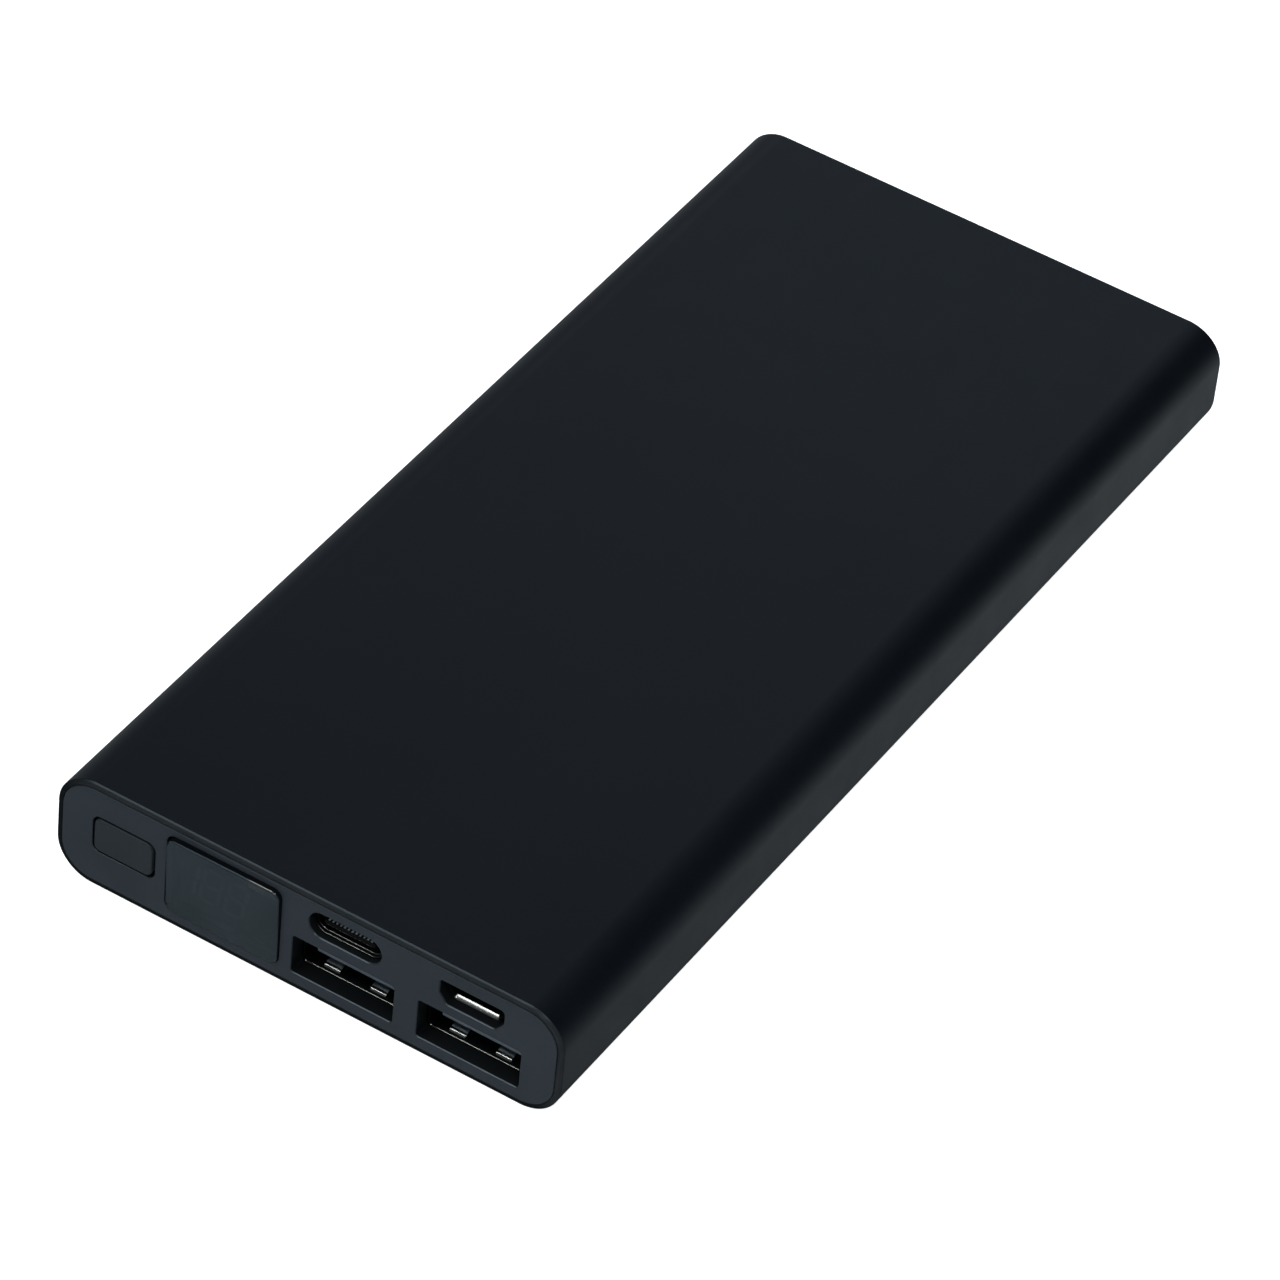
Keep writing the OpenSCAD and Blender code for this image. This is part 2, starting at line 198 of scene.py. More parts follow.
def lead_in(at, y, c):
    """Rings of a hole's lead-in: a steep facet between two small roundings, from the face at y to the wall."""
    k = math.tan(math.radians(60))
    return [at(d * c, y + e * c) for d, e in ((1.12, 0), (1.04, 0.01), (0.96, 0.06), (0.88, 0.16), (0.26, 0.16 + 0.62 * k),
                                              (0.16, 0.36 + 0.62 * k), (0.06, 0.66 + 0.62 * k), (0, 1.05 + 0.62 * k))]


def lip(at, y, c, steps=4):
    """Rings of the rounded lip of a hole, from the face at y down to its wall."""
    out = []
    for i in range(steps + 1):
        f = math.pi / 2 * i / steps
        out.append(at(c * (1 - math.sin(f)), y + c * (1 - math.cos(f))))
    return out


def block(bm, lo, hi, c=0.08, mi=0):
    """A box with small chamfers on the edges along Y and at its ends."""
    (x0, y0, z0), (x1, y1, z1) = lo, hi
    at = rr(x1 - x0, z1 - z0, c * 1.6, (x0 + x1) / 2, (z0 + z1) / 2, 3)
    loft(bm, [at(-c, y0), at(0, y0 + c), at(0, y1 - c), at(-c, y1)], mi, (True, True))


def strip(bm, line, x0, x1, t, mi=0, c=0.03):
    """A bent strip of sheet metal of thickness t between x0 and x1, along a centre line of (y, z) points."""
    n = len(line)
    rings = []
    for i in range(n):
        a, b = Vector(line[max(i - 1, 0)]), Vector(line[min(i + 1, n - 1)])
        d = (b - a).normalized()
        nrm = Vector((-d.y, d.x))
        p = Vector(line[i])
        sec = []
        for x, k in ((x0, -1), (x0, 1), (x1, 1), (x1, -1)):
            sx = 1 if x == x0 else -1
            pair = [(x + sx * c, k * t / 2), (x, k * (t / 2 - c))]
            if (x == x0) == (k == 1):
                pair.reverse()
            for xx, o in pair:
                q = p + nrm * o
                sec.append((xx, q.x, q.y))
        rings.append(sec)
    loft(bm, rings, mi, (True, True))


def piece(name, bm, mats, body="housing", replaces=(), angle=32):
    """Turns a bmesh in millimetres into a finished piece that rides on its body."""
    bmesh.ops.recalc_face_normals(bm, faces=bm.faces)
    bmesh.ops.scale(bm, vec=(MM, MM, MM), verts=bm.verts)
    me = bpy.data.meshes.new(name)
    bm.to_mesh(me)
    bm.free()
    for m in mats:
        me.materials.append(m)
    for p in me.polygons:
        p.use_smooth = True
    me.set_sharp_from_angle(angle=math.radians(angle))
    ob = bpy.data.objects.new(name, me)
    scene.collection.objects.link(ob)
    w = ob.modifiers.new("weighted_normals", "WEIGHTED_NORMAL")
    w.keep_sharp = True
    w.weight = 60
    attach(ob, body)
    if replaces:
        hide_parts(*replaces)
    return ob


def cut(bm, boxes, mats):
    """bm with boxes cut away from it, as a new bmesh."""
    me = bpy.data.meshes.new("cut")
    bmesh.ops.recalc_face_normals(bm, faces=bm.faces)
    bm.to_mesh(me)
    bm.free()
    for m in mats:
        me.materials.append(m)
    ob = bpy.data.objects.new("cut", me)
    scene.collection.objects.link(ob)
    tools = []
    for lo, hi in boxes:
        tb = bmesh.new()
        block(tb, lo, hi, 0.02)
        bmesh.ops.recalc_face_normals(tb, faces=tb.faces)
        tm = bpy.data.meshes.new("tool")
        tb.to_mesh(tm)
        tb.free()
        tool = bpy.data.objects.new("tool", tm)
        scene.collection.objects.link(tool)
        mod = ob.modifiers.new("cut", "BOOLEAN")
        mod.operation, mod.solver, mod.object = "DIFFERENCE", "EXACT", tool
        tools.append(tool)
    dg = bpy.context.evaluated_depsgraph_get()
    dg.update()
    out = bmesh.new()
    out.from_object(ob, dg)
    for o in [ob, *tools]:
        data = o.data
        bpy.data.objects.remove(o)
        bpy.data.meshes.remove(data)
    return out


# ---------------------------------------------------------------- materials
class Mat:
    """A principled material whose colour, roughness and relief come from noise in the object's own metres."""

    def __init__(self, name, metallic=0.0, specular=0.5, **sockets):
        self.m = bpy.data.materials.new(name)
        self.m.use_nodes = True
        self.nt = self.m.node_tree
        self.p = self.nt.nodes["Principled BSDF"]
        self.p.inputs["Metallic"].default_value = metallic
        self.p.inputs["Specular IOR Level"].default_value = specular
        for k, v in sockets.items():
            self.p.inputs[k.replace("_", " ")].default_value = v
        self.coord = self.new("ShaderNodeTexCoord").outputs["Object"]

    def new(self, kind, **props):
        n = self.nt.nodes.new(kind)
        for k, v in props.items():
            setattr(n, k, v)
        return n

    def link(self, a, b):
        self.nt.links.new(a, b)

    def stretch(self, scale, rotation=(0, 0, 0)):
        n = self.new("ShaderNodeMapping")
        n.inputs["Scale"].default_value = scale
        n.inputs["Rotation"].default_value = rotation
        self.link(self.coord, n.inputs["Vector"])
        return n.outputs["Vector"]

    def noise(self, scale, detail=3.0, rough=0.55, vector=None):
        n = self.new("ShaderNodeTexNoise")
        n.inputs["Scale"].default_value = scale
        n.inputs["Detail"].default_value = detail
        n.inputs["Roughness"].default_value = rough
        self.link(vector or self.coord, n.inputs["Vector"])
        return n.outputs["Fac"]

    def cells(self, scale, vector=None, feature="F1", out="Distance"):
        n = self.new("ShaderNodeTexVoronoi", feature=feature)
        n.inputs["Scale"].default_value = scale
        self.link(vector or self.coord, n.inputs["Vector"])
        return n.outputs[out]

    def ramp(self, fac, lo, hi, a=0.0, b=1.0):
        n = self.new("ShaderNodeMapRange")
        n.inputs["From Min"].default_value = lo
        n.inputs["From Max"].default_value = hi
        n.inputs["To Min"].default_value = a
        n.inputs["To Max"].default_value = b
        self.link(fac, n.inputs["Value"])
        return n.outputs["Result"]

    def math(self, op, a, b):
        n = self.new("ShaderNodeMath", operation=op)
        for s, v in zip(n.inputs, (a, b)):
            if isinstance(v, (int, float)):
                s.default_value = v
            else:
                self.link(v, s)
        return n.outputs[0]

    def mix(self, fac, a, b):
        n = self.new("ShaderNodeMix", data_type="RGBA")
        self.link(fac, n.inputs[0])
        for s, v in ((n.inputs[6], a), (n.inputs[7], b)):
            if isinstance(v, tuple):
                s.default_value = (*v, 1)
            else:
                self.link(v, s)
        return n.outputs[2]

    def colour(self, out):
        self.link(out, self.p.inputs["Base Color"])
        return self

    def rough(self, out):
        self.link(out, self.p.inputs["Roughness"])
        return self

    def bump(self, height, strength, distance, under=None):
        n = self.new("ShaderNodeBump")
        n.inputs["Strength"].default_value = strength
        n.inputs["Distance"].default_value = distance
        self.link(height, n.inputs["Height"])
        if under is not None:
            self.link(under, n.inputs["Normal"])
        self.link(n.outputs["Normal"], self.p.inputs["Normal"])
        return n.outputs["Normal"]


def moulded(name, dark, light, r0, r1, specular=0.5, grain=5200, relief=0.25, depth=1.2e-5, patch=70, **sockets):
    """Moulded or coated surface: slow colour drift, spark-eroded grain, slightly uneven gloss."""
    m = Mat(name, 0.0, specular, **sockets)
    slow = m.noise(patch, 4)
    fine = m.noise(grain, 3, 0.65)
    pits = m.cells(grain * 0.8)
    m.colour(m.mix(m.ramp(m.math("ADD", m.math("MULTIPLY", slow, 0.7), m.math("MULTIPLY", fine, 0.3)), 0.35, 0.65), dark, light))
    m.rough(m.ramp(m.math("ADD", m.math("MULTIPLY", slow, 0.5), m.math("MULTIPLY", fine, 0.5)), 0.3, 0.7, r0, r1))
    m.bump(m.math("ADD", fine, m.math("MULTIPLY", pits, 0.5)), relief, depth)
    return m.m


def drawn_metal(name, dark, light, r0, r1, along="x", grain=9000, relief=0.2, depth=6e-6, metal=1.0, **sockets):
    """Rolled or plated metal: fine lines one way, faint tarnish."""
    m = Mat(name, metal, 0.5, **sockets)
    s = {"x": (0.04, 1, 1), "y": (1, 0.04, 1), "z": (1, 1, 0.04), "n": (1, 1, 1)}[along]
    lines = m.noise(grain, 3, 0.6, m.stretch(s))
    slow = m.noise(500, 4)
    m.colour(m.mix(m.ramp(slow, 0.35, 0.65), dark, light))
    m.rough(m.ramp(m.math("ADD", m.math("MULTIPLY", lines, 0.6), m.math("MULTIPLY", slow, 0.4)), 0.3, 0.7, r0, r1))
    m.bump(lines, relief, depth)
    return m.m


TINT = (0.71, 0.89, 1.0, 1)


def anodised(name):
    """Bead-blasted, black anodised aluminium with faint handling marks and hairlines."""
    m = Mat(name, 0.0, 0.12, Specular_Tint=TINT)
    slow = m.noise(28, 3)
    cloud = m.noise(190, 5, 0.6)
    grain = m.noise(7000, 2, 0.7)
    beads = m.cells(5200)
    hair = m.ramp(m.noise(420, 2, 0.5, m.stretch((1, 0.03, 1), (0, 0, 0.22))), 0.70, 0.78)
    tone = m.math("ADD", m.math("MULTIPLY", slow, 0.5), m.math("MULTIPLY", cloud, 0.3))
    tone = m.math("ADD", tone, m.math("MULTIPLY", grain, 0.2))
    m.colour(m.mix(m.ramp(tone, 0.35, 0.65), (0.0036, 0.0048, 0.0077), (0.0051, 0.0066, 0.0103)))
    gloss = m.math("ADD", m.math("MULTIPLY", cloud, 0.6), m.math("MULTIPLY", grain, 0.4))
    rough = m.math("SUBTRACT", m.ramp(gloss, 0.3, 0.7, 0.39, 0.46), m.math("MULTIPLY", hair, 0.03))
    m.rough(rough)
    under = m.bump(m.math("ADD", m.math("MULTIPLY", beads, 0.7), grain), 0.16, 1.0e-5)
    m.bump(hair, 0.05, 4e-6, under)
    return m.m


def cut_chamfer(name):
    """The fly-cut chamfer of the sleeve's rims, smoother than its blasted faces, with painted shade towards the left
    and the bottom.
    """
    m = Mat(name, 0.0, 0.20, Specular_Tint=TINT)
    lines = m.noise(16000, 2, 0.6, m.stretch((1, 0.15, 1)))
    slow = m.noise(300, 3)
    wear = m.ramp(m.noise(900, 5, 0.7), 0.60, 0.72)
    base = m.mix(m.ramp(slow, 0.35, 0.65), (0.0150, 0.0180, 0.0210), (0.0190, 0.0225, 0.0260))
    base = m.mix(m.math("MULTIPLY", wear, 0.25), base, (0.034, 0.037, 0.040))
    # painted shade: near-black at the left end and along the bottom, the base colour elsewhere
    part = m.new("ShaderNodeSeparateXYZ")
    m.link(m.coord, part.inputs[0])
    painted_shade = m.math("MULTIPLY", m.ramp(part.outputs[0], -0.0322, -0.0285), m.ramp(part.outputs[2], 0.0008, 0.0030))
    m.colour(m.mix(painted_shade, (0.0040, 0.0050, 0.0060), base))
    m.rough(m.ramp(lines, 0.3, 0.7, 0.32, 0.40))
    m.bump(lines, 0.15, 4e-6)
    return m.m


def smoked(name, specular=0.22, r0=0.17, r1=0.24, alpha=0.935, tint=TINT):
    """Smoked, faintly smeared clear plastic. The tint sits in its front skin; alpha is how dense it is."""
    m = Mat(name, 0.0, specular, Alpha=alpha, Specular_Tint=tint)
    slow = m.noise(120, 3)
    smear = m.noise(260, 3, 0.5, m.stretch((1, 1, 0.35), (0, 0.5, 0)))
    m.colour(m.mix(m.ramp(slow, 0.35, 0.65), (0.0210, 0.0292, 0.0345), (0.0254, 0.0346, 0.0410)))
    m.rough(m.ramp(smear, 0.35, 0.75, r0, r1))
    m.bump(m.noise(90, 2), 0.02, 1.0e-5)
    return m.m


def circuit(name):
    """Green solder mask with copper tracks showing through, and pale legend dots."""
    m = Mat(name, 0.0, 0.5)
    flat = m.stretch((1, 1, 0.0))
    br = m.new("ShaderNodeTexBrick")
    br.inputs["Scale"].default_value = 260
    br.inputs["Mortar Size"].default_value = 0.035
    br.inputs["Brick Width"].default_value = 0.9
    br.inputs["Row Height"].default_value = 0.35
    m.link(flat, br.inputs["Vector"])
    tracks = m.ramp(br.outputs["Fac"], 0.2, 0.8)
    zones = m.ramp(m.noise(90, 1, 0.4, flat), 0.44, 0.48)
    net = m.math("MULTIPLY", tracks, zones)
    vias = m.ramp(m.cells(420, flat), 0.16, 0.13)
    base = m.mix(m.ramp(m.noise(60, 3), 0.3, 0.7), (0.006, 0.060, 0.032), (0.010, 0.085, 0.046))
    base = m.mix(net, base, (0.022, 0.15, 0.075))
    m.colour(m.mix(vias, base, (0.55, 0.42, 0.20)))
    m.rough(m.ramp(m.noise(2500, 3), 0.3, 0.7, 0.28, 0.40))
    m.bump(m.math("ADD", net, vias), 0.35, 2.5e-5)
    return m.m


def pouch(name):
    """Laminated foil: soft wrinkles and faint pressure marks."""
    m = Mat(name, 0.55, 0.5)
    wr = m.noise(260, 5, 0.6, m.stretch((1, 0.35, 1)))
    dent = m.cells(90)
    m.colour(m.mix(m.ramp(m.noise(45, 4), 0.3, 0.7), (0.50, 0.51, 0.53), (0.64, 0.65, 0.67)))
    m.rough(m.ramp(wr, 0.3, 0.7, 0.34, 0.50))
    m.bump(m.math("ADD", wr, m.math("MULTIPLY", dent, 0.25)), 0.5, 1.5e-4)
    return m.m


def foam(name, dark, light):
    m = Mat(name, 0.0, 0.25)
    cell = m.cells(1800)
    m.colour(m.mix(m.ramp(cell, 0.1, 0.6), dark, light))
    m.rough(m.ramp(m.noise(900, 3), 0.3, 0.7, 0.82, 0.95))
    m.bump(cell, 0.7, 1.5e-4)
    return m.m


M = {
    "sleeve": anodised("sleeve_anodised"),
    "chamfer": cut_chamfer("sleeve_chamfer"),
    "panel": moulded("panel_plastic", (0.0226, 0.0288, 0.0357), (0.0280, 0.0354, 0.0437), 0.46, 0.54, 0.19, Specular_Tint=TINT),
    "edge": moulded("panel_edge", (0.0226, 0.0288, 0.0357), (0.0280, 0.0354, 0.0437), 0.26, 0.34, 0.32, grain=3600, Specular_Tint=TINT),
    # a far darker copy of the panel plastic for hole walls, the pocket and hidden faces: painted shade
    "well": moulded("panel_well_painted_shade", (0.0045, 0.0055, 0.0065), (0.0065, 0.0078, 0.0090), 0.42, 0.50, 0.12, grain=3600, Specular_Tint=TINT),
    "button": moulded("button_plastic", (0.0200, 0.0258, 0.0300), (0.0248, 0.0312, 0.0362), 0.44, 0.52, 0.18, grain=6000, Specular_Tint=TINT),
    "lens": smoked("smoked_lens"),
    "lens_edge": smoked("lens_edge", 0.72, 0.11, 0.15, 1.0, (1.0, 1.0, 0.9, 1)),
    "lens_back": smoked("lens_back", 0.0, 0.30, 0.40, 0.10),
    # near-black matte for the lens's outer rounding, its walls and a line at its left: painted shade
    "lens_painted_shade": moulded("lens_painted_shade", (0.0035, 0.0045, 0.0060), (0.0050, 0.0062, 0.0080), 0.34, 0.44, 0.0, grain=3000),
    "tray": moulded("tray_plastic", (0.030, 0.031, 0.033), (0.042, 0.043, 0.046), 0.50, 0.62, grain=2600, relief=0.4),
    "plunger": moulded("plunger_plastic", (0.62, 0.59, 0.52), (0.74, 0.71, 0.64), 0.40, 0.50, grain=3000),
    "black": moulded("connector_plastic", (0.0035, 0.0038, 0.0042), (0.0055, 0.0058, 0.0062), 0.42, 0.52, 0.10, grain=4200),
    "tongue": moulded("tongue_plastic", (0.145, 0.185, 0.230), (0.180, 0.225, 0.275), 0.45, 0.55, grain=3000),
    "digit": moulded("digit_diffuser", (0.42, 0.44, 0.46), (0.52, 0.54, 0.56), 0.45, 0.55, grain=3000),
    "steel": drawn_metal("connector_steel", (0.30, 0.31, 0.29), (0.40, 0.41, 0.38), 0.20, 0.26, "x", relief=0.04),
    # near-black metal for the sockets' insides and left flanks: painted shade
    "socket_shade": drawn_metal("socket_painted_shade", (0.020, 0.022, 0.024), (0.034, 0.037, 0.040), 0.36, 0.48, "n"),
    "spring": drawn_metal("contact_spring", (0.62, 0.63, 0.60), (0.74, 0.75, 0.72), 0.16, 0.22, "n", relief=0.03),
    "gold": drawn_metal("gold_contact", (0.70, 0.48, 0.20), (0.86, 0.62, 0.28), 0.18, 0.30, "y"),
    # pale blue-white contacts whose colour stands in for their glints: painted highlight
    "pale": drawn_metal("contact_painted_glint", (0.66, 0.76, 0.82), (0.80, 0.90, 0.96), 0.36, 0.46, "y", metal=0.35, relief=0.05),
    "bright": drawn_metal("bright_steel", (0.66, 0.66, 0.64), (0.78, 0.78, 0.76), 0.16, 0.22, "x", relief=0.03),
    "screw": drawn_metal("screw_steel", (0.34, 0.35, 0.36), (0.46, 0.47, 0.48), 0.28, 0.42, "n"),
    "can": drawn_metal("capacitor_can", (0.52, 0.53, 0.54), (0.64, 0.65, 0.66), 0.22, 0.36, "z"),
    "tab": drawn_metal("cell_tab", (0.58, 0.56, 0.50), (0.72, 0.70, 0.64), 0.28, 0.42, "y"),
    "ferrite": moulded("ferrite", (0.09, 0.09, 0.095), (0.14, 0.14, 0.145), 0.55, 0.7, grain=2200, relief=0.6, depth=4e-5),
    "ceramic": moulded("capacitor_ceramic", (0.36, 0.23, 0.12), (0.48, 0.32, 0.18), 0.4, 0.55, grain=2600),
    "chip": moulded("chip_epoxy", (0.010, 0.010, 0.012), (0.016, 0.016, 0.018), 0.45, 0.6, grain=3800, relief=0.5),
    "red": moulded("lead_red", (0.36, 0.014, 0.010), (0.48, 0.022, 0.016), 0.42, 0.55, grain=1500),
    "dark": moulded("lead_black", (0.008, 0.008, 0.008), (0.014, 0.014, 0.014), 0.42, 0.55, grain=1500),
    "glue": moulded("adhesive", (0.74, 0.72, 0.66), (0.84, 0.82, 0.77), 0.6, 0.75, grain=1200, relief=0.5, depth=5e-5),
    "film": moulded("film", (0.50, 0.40, 0.19), (0.62, 0.50, 0.25), 0.45, 0.6, grain=1400, relief=0.3, depth=4e-5),
    "board": circuit("circuit_board"),
    "pouch": pouch("cell_pouch"),
    "foam": foam("foam", (0.010, 0.010, 0.011), (0.030, 0.030, 0.032)),
}
SLOT_MAT = {
    "sleeve_anodised": "sleeve", "panel_plastic": "panel", "tray_plastic": "tray", "button_plastic": "button",
    "plunger_plastic": "plunger", "connector_plastic": "black", "contact_spring": "spring", "smoked_lens": "lens",
    "digit_diffuser": "digit", "gold_contact": "gold", "foam": "foam", "circuit_board": "board",
    "connector_steel": "steel", "ferrite": "ferrite", "capacitor_can": "can", "capacitor_ceramic": "ceramic",
    "chip_epoxy": "chip", "screw_steel": "screw", "cell_pouch": "pouch", "cell_tab": "tab", "lead_red": "red",
    "lead_black": "dark", "adhesive": "glue", "film": "film",
}
for part in frame["record"]["subparts"]:
    ob = nodes[part["node"]]
    ob.data.materials.clear()
    ob.data.materials.append(M[SLOT_MAT[part["material_slot"]]])


# ---------------------------------------------------------------- sleeve
def sleeve():
    at = rr(BODY_W, BODY_H, CORNER_R, 0, ZC, 20)
    # from the inner wall, round the rim, over the two-stage chamfer, to the outer face
    half = [(0.70, 0.06), (0.675, 0.015), (0.64, 0.0), (0.375, 0.0), (0.345, 0.004), (0.315, 0.018), (0.150, 0.180),
            (0.125, 0.210), (0.040, 0.360), (0.022, 0.400), (0.006, 0.450), (0.0, 0.520)]
    base, inner = at(0, 0), at(-1, 0)

    def rim(d, y, front):
        # the chamfer is finer at the left and the bottom of the front, and at the right of the back
        out = []
        for (x0, _, z0), (x1, _, z1) in zip(base, inner):
            nx, nz = x0 - x1, z0 - z1
            k = 1 - 0.55 * min(1.0, 1.3 * max(0.0, -nx, -nz)) - 0.16 * max(0.0, nx) ** 2 if front else 1 - 0.75 * max(0.0, nx) ** 3
            k = k if d < 0.5 else 1.0
            out.append((x0 - nx * d * k, Y_SLEEVE + y * k if front else Y_REAR - y * k, z0 - nz * d * k))
        return out

    rings = [rim(d, y, True) for d, y in half]
    rings += [at(0, Y_SLEEVE + (Y_REAR - Y_SLEEVE) * f) for f in (0.02, 0.25, 0.5, 0.75, 0.98)]
    rings += [rim(d, y, False) for d, y in reversed(half)]
    bm = bmesh.new()
    n = len(rings)
    vs = loft(bm, rings, 0, marks={k: 1 for k in [*range(0, 9), *range(n - 10, n - 1)]})
    bridge(bm, vs[-1], vs[0])
    return piece("sleeve_shell", bm, [M["sleeve"], M["chamfer"]], replaces=["aluminium_sleeve"], angle=50)


def arms(bm, y0, direction, length):
    """Snap arms on the inside of an end panel, as in the frame."""
    for s in (-1, 1):
        x0 = 29.3 if s > 0 else -30.3
        xh = 30.2 if s > 0 else -31.5
        ya, yb = sorted((y0, y0 + direction * length))
        block(bm, (x0, ya, 3.2), (x0 + 1, yb, 6.2), 0.06)
        h0, h1 = sorted((y0 + direction * (length - 1.6), y0 + direction * (length - 0.4)))
        block(bm, (xh, h0, 3.6), (xh + 1.3, h1, 5.8), 0.12)


# ---------------------------------------------------------------- front panel
def micro_points(w, w_low, z_low, z_knee, z_top):
    x = MICRO_X
    return [(x + w / 2, z_top), (x - w / 2, z_top), (x - w / 2, z_knee), (x - w_low / 2, z_low), (x + w_low / 2, z_low), (x + w / 2, z_knee)]


def front_panel():
    at = rr(CAP_W, CAP_H, CAP_R, 0, ZC, 16)
    bm = bmesh.new()
    # the panel's side behind its eased edge takes the dark well material: painted shade
    outer = loft(bm, eased(at, Y_FACE, 0.16, 5) + [at(0, Y_BACK)], 0, marks={5: 1})
    fronts, backs = [outer[0]], [outer[-1]]

    def hole(shape, c, inner=1):
        rings = lead_in(shape, Y_FACE, c)
        n = len(rings)
        marks = {k: 2 for k in range(1, n - 1)}
        # the hole's wall behind the lead-in takes the dark well material: painted shade
        vs = loft(bm, rings + [shape(0, Y_BACK)], 0, marks={**marks, n - 1: inner})
        fronts.append(vs[0])
        backs.append(vs[-1])

    hole(rr(8.36, 5.28, 1.10, BUTTON[0] + 0.05, BUTTON[1], 8), 0.05)
    # display: a pocket for the lens, and a window behind it
    pocket = rr(15.18, 11.16, 1.16, LENS[0] - 0.08, LENS[1] - 0.02, 8)
    window = rr(13.4, 9.5, 0.6, *LENS, 8)
    rings = lip(pocket, Y_FACE, 0.05, 4) + [pocket(0, Y_FACE + 1.02), window(0, Y_FACE + 1.02), window(0, Y_BACK)]
    # the pocket's wall and floor and the window's wall take the dark well material: painted shade
    vs = loft(bm, rings, 0, marks={4: 1, 5: 1, 6: 1})
    fronts.append(vs[0])
    backs.append(vs[-1])
    for x in USB_A:
        hole(rr(13.25, 5.4, 0.35, x, 5.1, 6), 0.08)
    hole(rr(9.44, 3.57, 1.78, USB_C[0], 11.22, 12), 0.10)
    hole(poly(micro_points(8.25, 6.2, 9.2, 10.5, 12.4), [0.45, 0.45, 0.7, 0.6, 0.6, 0.7], 6), 0.10)
    fill(bm, fronts)
    # the back of the panel in the dark well material: painted shade
    fill(bm, backs, 1)
    arms(bm, Y_BACK, 1, 7.0)
    return piece("front_panel_shell", bm, [M["panel"], M["well"], M["edge"]], replaces=["front_panel"], angle=40)


def rear_cap():
    at = rr(CAP_W, CAP_H, CAP_R, 0, ZC, 16)
    y_in = Y_REAR - 2.0
    bm = bmesh.new()
    rings = [at(0, y_in)] + list(reversed(eased(at, Y_CAP, 0.16, 5, sign=-1)))
    loft(bm, rings, 0, (True, True))
    arms(bm, y_in, -1, 3.7)
    return piece("rear_cap_shell", bm, [M["panel"]], replaces=["rear_cap"], angle=40)


# ---------------------------------------------------------------- button
def power_button():
    lo, hi = mmbox("power_button")
    at = rr(7.7, 4.7, 0.90, *BUTTON, 8)
    y = lo.y
    bm = bmesh.new()
    # crowned face, rounded edge, wall, flange
    rings = [at(-2.2, y - 0.0), at(-1.7, y + 0.003), at(-1.2, y + 0.010), at(-0.8, y + 0.022), at(-0.45, y + 0.040)]
    for i in range(7):
        f = math.pi / 2 * i / 6
        rings.append(at(-0.24 * (1 - math.sin(f)), y + 0.055 + 0.24 * (1 - math.cos(f))))
    rings.append(at(0, Y_BACK + 0.05))
    flange = rr(9.6, 6.5, 1.2, *BUTTON, 8)
    rings += [flange(-0.05, Y_BACK + 0.05), flange(0, Y_BACK + 0.10), flange(0, Y_BACK + 0.80), flange(-0.05, Y_BACK + 0.85)]
    loft(bm, rings, 0, (True, True))
    block(bm, (BUTTON[0] - 1.1, Y_BACK + 0.85, 5.7), (BUTTON[0] + 1.1, hi.y, 7.1), 0.12)
    return piece("power_button_cap", bm, [M["button"]], body="button", replaces=["power_button"], angle=40)


# ---------------------------------------------------------------- lens
def display_lens():
    at = rr(L1.x - L0.x - 0.1, L1.z - L0.z, 1.1, LENS[0] + 0.05, LENS[1], 12)
    proud, low = Y_FACE - L0.y, 0.25
    base, inner = at(0, 0), at(-1, 0)
    bm = bmesh.new()

    def front(z):
        return Y_FACE - (low + (proud - low) * min(1, max(0, (z - L0.z) / (L1.z - L0.z))))

    def edge(f):
        """One ring of the rounded edge, which is broader along the upper side."""
        out = []
        for (x0, _, z0), (x1, _, z1) in zip(base, inner):
            up = ((z0 - L0.z) / (L1.z - L0.z)) ** 3
            c = 0.12 + up * (0.09 + 0.12 * min(1, max(0, (x0 - LENS[0]) / 6)))
            d = c * (1 - math.sin(f))
            z = z0 + (z1 - z0) * d
            out.append((x0 + (x1 - x0) * d, front(z) + c * (1 - math.cos(f)), z))
        return out

    rings = [[(x, front(z), z) for x, _, z in at(d, 0)] for d in (-2.5, -1.0, -0.5)]
    rings += [edge(math.pi / 2 * i / 8) for i in range(9)]
    rings.append(at(0, L1.y - 0.08))
    rings.append(at(-0.08, L1.y))
    # the outer rounding and the walls take the dark material: painted shade
    vs = loft(bm, rings, 0, (True, False), marks={k: 1 for k in (9, 10, 11, 12)})
    bm.faces.new(vs[-1]).material_index = 3
    for x in (L1.x - 3.9, L1.x - 2.6):
        bmesh.ops.bisect_plane(bm, geom=[*bm.verts, *bm.edges, *bm.faces], plane_co=(x, 0, 0), plane_no=(1, 0, 0))
    # at the left the rounded edge takes the dark material, a painted shade line
    for f in bm.faces:                         # the rounded edge: polished at the upper right, shaded at the left
        c = f.calc_center_median()
        if f.material_index or f.calc_area() > 8:
            continue
        if c.z > L1.z - 1.0 and c.x > L1.x - 3.9:
            f.material_index = 2
        elif c.x < L0.x + 0.9 and c.z > L0.z + 0.2 and c.x < L0.x + 0.1 + 0.35 * (c.z > L1.z - 1.0 or c.z < L0.z + 1.0):
            f.material_index = 1
    return piece("display_window", bm, [M["lens"], M["lens_painted_shade"], M["lens_edge"], M["lens_back"]], replaces=["display_lens"], angle=40)


# ---------------------------------------------------------------- sockets
def shade(bm, where, mi=1):
    """Gives the dark socket material, painted shade, to the faces whose middle passes the test."""
    for f in bm.faces:
        if where(f.calc_center_median()):
            f.material_index = mi


